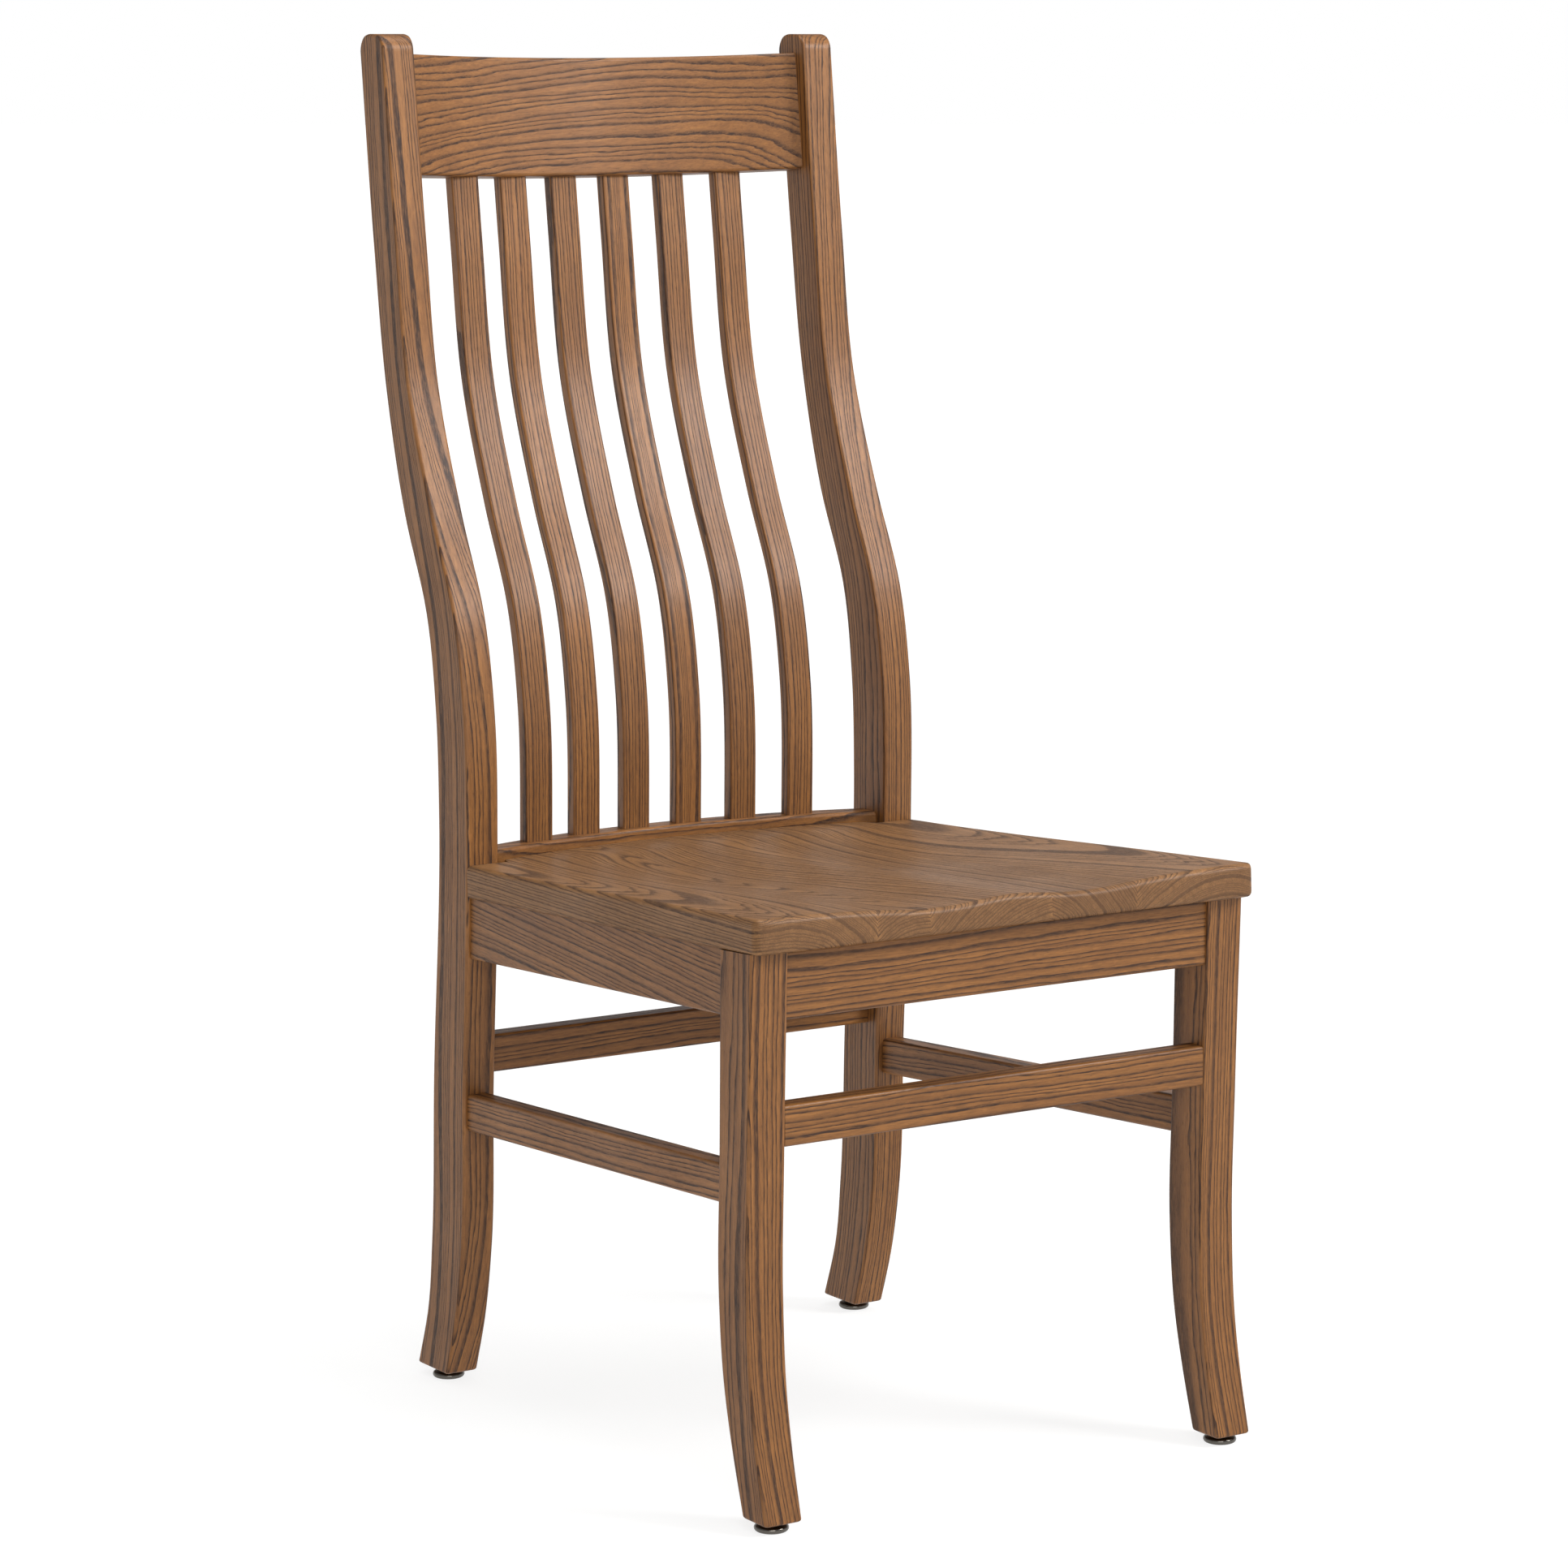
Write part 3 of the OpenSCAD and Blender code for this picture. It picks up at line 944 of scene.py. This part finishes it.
@dataclass
class StraightRail:
    """An apron or a stretcher between two legs, with a tenon at each end."""

    node: str
    start: Vector
    end: Vector
    thickness: float
    height: float
    pith: tuple[float, float, float]
    seed: float
    shoulder: float
    ring: float = 4.4
    slant: float = 0.0
    scribed: bool = False
    tenon_drop: float = 7 * MM
    tenon_height: float = 34 * MM
    arris: float = 2.4 * MM
    steps: int = 12

    def scribe(self, ring: Ring, along: Vector) -> Ring:
        """Moves a shoulder's points along the rail on to the curved face that they meet.

        Args:
            ring: the shoulder's ring.
            along: direction of the rail.

        Returns:
            The ring, fitted to the front leg's back or the rear post's front.
        """
        near_front = ring[0].y < SIDES.origin + 200 * MM
        outline = SIDES.leg_back if near_front else SIDES.post_front
        fitted = []
        for point in ring:
            moved = point.copy()
            for _ in range(3):
                moved += along * ((SIDES.at(outline, moved.z) - moved.y) / along.y)
            fitted.append(moved)
        return fitted

    def build(self, finishes: Finishes) -> None:
        """Makes the rail as one loft: tenon, shoulder, body, shoulder, tenon.

        Args:
            finishes: the chair's finishes.
        """
        along = (self.end - self.start).normalized()
        inward = Vector((0, 0, 1)).cross(along)
        up = along.cross(inward)
        length = (self.end - self.start).length
        body = rounded_rectangle(0, self.thickness, 0, self.height, self.arris)
        edge = (self.thickness - TENON_THICKNESS) / 2
        tenon = rounded_rectangle(edge, edge + TENON_THICKNESS, self.tenon_drop,
                                  self.tenon_drop + self.tenon_height, TENON_ARRIS)
        stops = [(0, tenon), (self.shoulder, tenon), (self.shoulder, body)]
        inner = length - 2 * self.shoulder
        stops += [(self.shoulder + inner * k / self.steps, body) for k in range(1, self.steps)]
        stops += [(length - self.shoulder, body), (length - self.shoulder, tenon), (length, tenon)]
        rings = [
            [self.start + along * d - inward * a + up * b for a, b in section]
            for d, section in stops
        ]
        if self.scribed:
            for k in (1, 2):
                rings[k] = self.scribe(rings[k], along)
                rings[-1 - k] = self.scribe(rings[-1 - k], along)
        piece = Piece(self.node + "_oak", self.node, "stained_oak")
        piece.loft(rings)
        tilt = along + up * self.slant
        piece.finish(finishes.oak, board_grain(self.node, tuple(tilt), self.pith, self.seed,
                                               self.ring))


# ---- Seat --------------------------------------------------------------------------------


@dataclass
class Seat:
    """The scooped seat, glued up from boards that are carved as one."""

    thickness: float = 26.5 * MM
    slope: float = SEAT_FALL
    front_half: float = 228 * MM
    rear_half: float = 215 * MM
    depth: float = 440.5 * MM
    taper_run: float = 460 * MM
    under_edge: float = 2 * MM
    round_over: float = 5 * MM
    corner: float = 9 * MM
    rail_set: float = 12.5 * MM
    joints: tuple[float, ...] = (-228, -123, -76.5, 34, 113.5, 228)
    post_inner: float = BACK_HALF
    fit_gap: float = 0.1 * MM
    ring: float = 2.6

    def scoop(self, x: float, y: float) -> float:
        """Depth of the carved hollow.

        Args:
            x: distance from the chair's middle.
            y: distance from the seat's front edge.

        Returns:
            How far the top lies below the uncarved board, in metres.
        """
        lengthwise = hermite([(6.2, 0), (6.6, 60), (8.4, 180), (10.5, 290), (7.5, 370),
                              (0.6, 440), (0, 520)], y / MM)
        widen = 1 + 0.22 * smoothstep(0.02, 0.3, y)
        across = abs(x / MM) / widen
        profile = hermite([(0.40, 0), (0.52, 16), (0.93, 48), (1.0, 66), (0.93, 86), (0.5, 122),
                           (0.18, 160), (0.04, 200), (0, 240)], across)
        rim = smoothstep(0.0, 0.05, self.depth + self.rail_set - y)
        return max(0.0, lengthwise * profile * rim) * MM

    def rear(self, x: float) -> float:
        """Where the seat ends at the back.

        Args:
            x: distance from the chair's middle.

        Returns:
            Distance from the seat's front edge: to the posts, or to the bowed rail between.
        """
        if abs(x) > self.post_inner:
            return self.depth
        radius = (self.post_inner**2 + BOW**2) / (2 * BOW)
        bow = math.sqrt(radius**2 - x**2) - (radius - BOW)
        return self.depth + self.rail_set + bow - self.fit_gap

    def section(self, x: float, side: float) -> Ring:
        """A front-to-back section of the seat.

        Args:
            x: distance from the chair's middle, at the front edge.
            side: distance from the seat's nearer side.

        Returns:
            The ring of points: along the top to the back, then along the underside.
        """
        r, big = self.round_over, self.corner
        drop = r - math.sqrt(max(0.0, r**2 - (r - min(side, r)) ** 2))
        plan = big - math.sqrt(max(0.0, big**2 - (big - min(side, big)) ** 2))
        rear = self.rear(x)
        taper = (self.front_half - self.rear_half) / self.taper_run
        half = [math.radians(90 * k / 5) for k in range(6)]
        nose = [(plan + r * (1 - math.sin(a)), r * (1 - math.cos(a))) for a in reversed(half)]
        run = [plan + r + (rear - plan - r) * k / 72 for k in range(1, 73)]
        ring = []
        for y, down in nose:
            ring.append((y, -max(drop, down) if side < r else -down, True))
        ring += [(y, -drop, True) for y in run]
        under = -self.thickness
        edge = min(drop, self.under_edge)
        ring += [(rear, under + edge, False)]
        ring += [(plan + r + (rear - plan - r) * k / 8, under + edge, False)
                 for k in range(7, 0, -1)]
        ring += [(y, under + max(down, edge), False) for y, down in reversed(nose)]
        tilt = Matrix.Translation((0, SIDES.origin, SEAT_HEIGHT)) @ Matrix.Rotation(
            -self.slope, 4, "X")
        points = []
        for y, z, top in ring:
            px = x * (1 - taper * y / self.front_half)
            scoop = self.scoop(px, y) if top else 0.0
            points.append(tilt @ Vector((px, y, z - scoop)))
        return points

    def columns(self, low: float, high: float) -> list[float]:
        """Where the sections of one board lie, closer together at an outer side.

        Args:
            low: the board's left side at the front edge.
            high: its right side at the front edge.

        Returns:
            Distances from the chair's middle, from left to right.
        """
        count = max(8, round((high - low) / (5 * MM)))
        places = {low + (high - low) * k / count for k in range(count + 1)}
        for side, sign in ((low, 1), (high, -1)):
            if abs(abs(side) - self.front_half) < 1e-6:
                places |= {side + sign * d for d, _ in quarter_steps(self.round_over, 6)}
                notch = self.post_inner * self.front_half / (
                    self.front_half - (self.front_half - self.rear_half) * 0.96)
                places -= {p for p in places if abs(abs(p) - notch) < 1.5 * MM}
                gap = self.fit_gap
                places |= {-sign * (notch - gap), -sign * (notch + gap)}
        return sorted(places)

    def build(self, finishes: Finishes) -> None:
        """Makes the seat's boards.

        Args:
            finishes: the chair's finishes.
        """
        rows = [(-30, 60), (20, 45), (70, 95), (-65, 50), (25, 75)]
        for i, (aside, below) in enumerate(rows, start=1):
            node = f"seat_board_{i}"
            low, high = self.joints[i - 1] * MM, self.joints[i] * MM
            rings = [self.section(x, self.front_half - abs(x)) for x in self.columns(low, high)]
            piece = Piece(node + "_oak", node, "seat_oak")
            piece.loft(rings)
            pith = (aside, 0, -below)
            grain = board_grain(node, (0, 1, 0), pith, 2.0 + 1.7 * i, self.ring)
            piece.finish(finishes.seat, grain)


# ---- Glides ------------------------------------------------------------------------------


@dataclass
class Glide:
    """A levelling glide: a round pad, and a threaded stem with a hexagonal collar."""

    corner: str
    pad_roll: float = 2.5 * MM
    pad_top: float = 5.5 * MM
    pad_dish: float = 4.0 * MM
    neck: float = 4.0 * MM
    shoulder: float = 8.4 * MM
    thread_start: float = 8 * MM
    thread_pitch: float = 1.27 * MM
    thread_root: float = 3.35 * MM
    thread_crest: float = 3.98 * MM
    tip: float = 3.2 * MM

    def build(self, finishes: Finishes) -> None:
        """Makes the pad and the stem.

        Args:
            finishes: the chair's finishes.
        """
        body = self.corner + "_glide"
        low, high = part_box(body + "_pad")
        middle = (low + high) / 2
        centre = Vector((middle.x, middle.y, low.z))
        radius, roll = (high.x - low.x) / 2, self.pad_roll
        edge = [
            (radius - roll + roll * math.cos(math.radians(a)),
             roll + roll * math.sin(math.radians(a)))
            for a in range(-90, 91, 15)
        ]
        pad = Piece(body + "_pad_nickel", body + "_pad", "nickel_plate", body)
        pad.lathe(centre, [(0.5 * MM, 0.15 * MM), (radius - self.pad_dish, 0.0), *edge,
                           (self.shoulder, self.pad_top), (self.neck, self.pad_top)], 64)
        pad.finish(finishes.nickel)
        low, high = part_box(body + "_stem")
        stem = Piece(body + "_stem_zinc", body + "_stem", "zinc_steel", body)
        collar = [(7.4 * MM, self.pad_top), (8.0 * MM, 5.9 * MM), (8.0 * MM, 7.5 * MM),
                  (7.5 * MM, 7.8 * MM)]
        stem.lathe(centre, [(self.neck, low.z), (self.neck, self.pad_top)], 32)
        stem.lathe(centre, collar, 6)
        thread = []
        turns = int((high.z - self.thread_start - 1 * MM) / self.thread_pitch)
        for k in range(turns):
            z = self.thread_start + k * self.thread_pitch
            thread.append((self.thread_root, z))
            thread += [(self.thread_crest, z + 0.55 * MM), (self.thread_crest, z + 0.7 * MM)]
        stem.lathe(centre, [*thread, (self.tip, high.z)], 32)
        stem.finish(finishes.zinc)


# ---- Studio ------------------------------------------------------------------------------


@dataclass
class Studio:
    """The camera, the pale floor and the soft light."""

    eye: tuple[float, float, float] = (-2.1068, -3.2009, 1.0827)
    yaw: float = -33.37
    pitch: float = -8.69
    lens: float = 112.42
    # The floor's painted glow: its strength near the chair, and the distances over which it rises
    # to full.
    floor_glow: float = 0.8
    glow_span: tuple[float, float] = (1.0, 6.0)
    floor_reach: float = 300.0
    mottle_size: float = 1000 * MM / 3
    sky_level: float = 0.35

    def camera(self) -> None:
        """Sets up the camera."""
        data = bpy.data.cameras.new("camera")
        data.lens, data.sensor_width = self.lens, 36.0
        data.clip_start, data.clip_end = 0.1, 60.0
        camera = bpy.data.objects.new("camera", data)
        bpy.context.collection.objects.link(camera)
        camera.location = self.eye
        camera.rotation_euler = (math.radians(90 + self.pitch), 0, math.radians(self.yaw))
        bpy.context.scene.camera = camera

    def floor(self) -> None:
        """Lays the pale floor, whose glow is painted light that lightens the chair's shadow."""
        material = bare_material("pale floor")
        add = partial(add_node, material.node_tree)
        where = add("TexCoord").outputs["Object"]
        mottle = add("TexNoise", where, Scale=1 / self.mottle_size, Detail=3.0)
        tone = add("Mix", mottle, _6=linear("#878786"), _7=linear("#8b8b8a"),
                   data_type="RGBA").outputs[2]
        # Painted light: the glow stands in for a lit sweep. It is floor_glow within the first
        # distance of glow_span and full beyond the second.
        away = add("VectorMath", where, operation="LENGTH").outputs["Value"]
        glow = add("MapRange", away, *self.glow_span, self.floor_glow, 1.0)
        shader = add("BsdfPrincipled", Base_Color=tone, Roughness=1.0, IOR=1.2,
                     Emission_Color=(1.0, 1.0, 1.0, 1.0), Emission_Strength=glow)
        add("OutputMaterial", shader)
        mesh = bpy.data.meshes.new("floor")
        reach = self.floor_reach
        corners = [(-reach, -reach, 0), (reach, -reach, 0), (reach, reach, 0), (-reach, reach, 0)]
        mesh.from_pydata(corners, [], [(0, 1, 2, 3)])
        mesh.materials.append(material)
        floor = bpy.data.objects.new("floor", mesh)
        bpy.context.collection.objects.link(floor)

    def light(self, name: str, at: tuple[float, float, float], size: float,
              watts: float) -> None:
        """Hangs a square soft light that faces the seat.

        Args:
            name: the light's name.
            at: its place.
            size: its side, in metres.
            watts: its power.
        """
        data = bpy.data.lights.new(name, "AREA")
        data.size, data.energy = size, watts
        lamp = bpy.data.objects.new(name, data)
        bpy.context.collection.objects.link(lamp)
        lamp.location = at
        aim = Vector((0, 0, 0.5)) - Vector(at)
        lamp.rotation_euler = aim.to_track_quat("-Z", "Y").to_euler()

    def build(self) -> None:
        """Sets up the whole studio."""
        self.camera()
        self.floor()
        self.light("key", (2.3, -2.8, 2.9), 1.3, 150)
        self.light("fill", (-2.0, -3.9, 2.1), 2.6, 78)
        self.light("top", (0.3, -0.2, 3.6), 2.0, 75)
        self.sky()

    def sky(self) -> None:
        """A soft surround, white at the horizon and dimmer above."""
        world = bpy.data.worlds.new("studio")
        world.use_nodes = True
        tree = world.node_tree
        where = add_node(tree, "TexCoord").outputs["Generated"]
        height = add_node(tree, "SeparateXYZ", where).outputs[2]
        white = add_node(tree, "ValToRGB", height, stops=((0.09, 1.0), (0.35, self.sky_level)))
        tree.links.new(white.outputs[0], tree.nodes["Background"].inputs["Color"])
        bpy.context.scene.world = world
        bpy.context.scene.view_settings.view_transform = "Standard"


# ---- Assembly ----------------------------------------------------------------------------


@dataclass
class Chair:
    """The whole chair."""

    finishes: Finishes
    side_run: float = 385 * MM
    side_start: float = 56 * MM
    side_tenon: float = 14 * MM
    front_outer: float = 221 * MM
    rear_outer: float = 211.1 * MM
    shoulder: float = 13 * MM
    post_nose: float = 14 * MM

    def uprights(self) -> list[Upright]:
        """The two posts and the two front legs.

        Returns:
            The uprights, in building order.
        """
        post = {"front": SIDES.post_front, "back": SIDES.post_back, "nose": self.post_nose}
        leg = {"front": SIDES.leg_front, "back": SIDES.leg_back,
               "top_slope": math.tan(SEAT_FALL), "levels": 48}
        return [
            Upright("left_rear_post", pith=(70, 25, 0), seed=1.3, **post),
            Upright("right_rear_post", pith=(35, -90, 0), seed=4.1, **post),
            Upright("left_front_leg", pith=(65, 45, 0), seed=7.7, **leg),
            Upright("right_front_leg", pith=(75, 30, 0), seed=9.2, **leg),
        ]

    def rails(self) -> list[StraightRail]:
        """The aprons and the stretchers.

        Returns:
            The rails, in building order.
        """
        rails = []
        for node, thickness, height, drop, tall, pith in (
            ("front_apron", 20, 51, 8, 34, (0, 24, 62)),
            ("front_stretcher", 19, 31, 6, 19, (0, 22, -58)),
            ("rear_stretcher", 19, 31, 6, 19, (0, 25, 55)),
        ):
            low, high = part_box(node)
            edge = (thickness - TENON_THICKNESS / MM) / 2
            rails.append(StraightRail(
                node, Vector((high.x, low.y, low.z)), Vector((low.x, low.y, low.z)),
                thickness * MM, height * MM, pith, seed=len(node) * 0.77 + edge,
                shoulder=self.shoulder, tenon_drop=drop * MM, tenon_height=tall * MM,
            ))
        for side in (-1, 1):
            word = "left" if side < 0 else "right"
            for kind, thickness, height, lift, tall in (
                ("side_apron", 20, 51, 378, 34), ("side_stretcher", 19, 29.5, 237.5, 15.5),
            ):
                rails.append(self.side_rail(f"{word}_{kind}", side, thickness * MM, height * MM,
                                            lift * MM, tall * MM))
        return rails

    def side_rail(self, node: str, side: int, thickness: float, height: float, lift: float,
                  tall: float) -> StraightRail:
        """A rail along one side, which falls and narrows towards the back.

        Args:
            node: the CAD node.
            side: -1 on the left, 1 on the right.
            thickness: its thickness.
            height: its height.
            lift: height of its lower edge at the front leg.
            tall: height of its tenons.

        Returns:
            The rail.
        """
        run, tenon = self.side_run, self.side_tenon
        fall = math.tan(SEAT_FALL)
        narrow = (self.front_outer - self.rear_outer) / run
        outer = [self.front_outer + narrow * tenon, self.front_outer - narrow * (run + tenon)]
        start_y = SIDES.origin + self.side_start
        y = [start_y - tenon, start_y + run + tenon]
        z = [lift + fall * tenon, lift - fall * (run + tenon)]
        ends = [Vector((side * outer[k], y[k], z[k])) for k in (0, 1)]
        if side < 0:
            start, end = ends
        else:
            start, end = reversed(ends)
        return StraightRail(node, start, end, thickness, height, (side * 22, 0, -58),
                            seed=3.1 + side + lift * 7, shoulder=tenon, scribed=True,
                            slant=-side * 0.14 if "apron" in node else 0.0,
                            tenon_height=tall)

    def build(self) -> None:
        """Makes every piece in order."""
        for upright in self.uprights():
            upright.build(self.finishes)
        BowedRail("crest_rail", 97 * MM, math.radians(6.9), 5.3, (0, 14, -84),
                  along=(1, 0.05, 0.07)).build(self.finishes)
        BowedRail("lower_back_rail", 78 * MM, 0.0, 6.9, (0, 20, 90)).build(self.finishes)
        for number in range(1, 7):
            Slat(number, seed=0.9 * number + 0.4).build(self.finishes)
        for rail in self.rails():
            rail.build(self.finishes)
        Seat().build(self.finishes)
        for corner in ("front_left", "front_right", "rear_left", "rear_right"):
            Glide(corner).build(self.finishes)
            self.dress(corner + "_corner_block", self.finishes.block)
        self.dress("seat_screws", self.finishes.zinc)
        self.dress("threaded_inserts", self.finishes.zinc)

    def dress(self, node: str, material: bpy.types.Material) -> None:
        """Gives a CAD node that stays its finish.

        Args:
            node: the CAD node.
            material: the finish.
        """
        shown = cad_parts[node]
        shown.data.materials.clear()
        shown.data.materials.append(material)
        log.info("%s: dressed", node)


def main() -> None:
    """Builds the studio and the chair."""
    logging.basicConfig(level=logging.INFO, format="%(name)s: %(message)s")
    Studio().build()
    Chair(Finishes()).build()


if __name__ == "__main__":
    main()
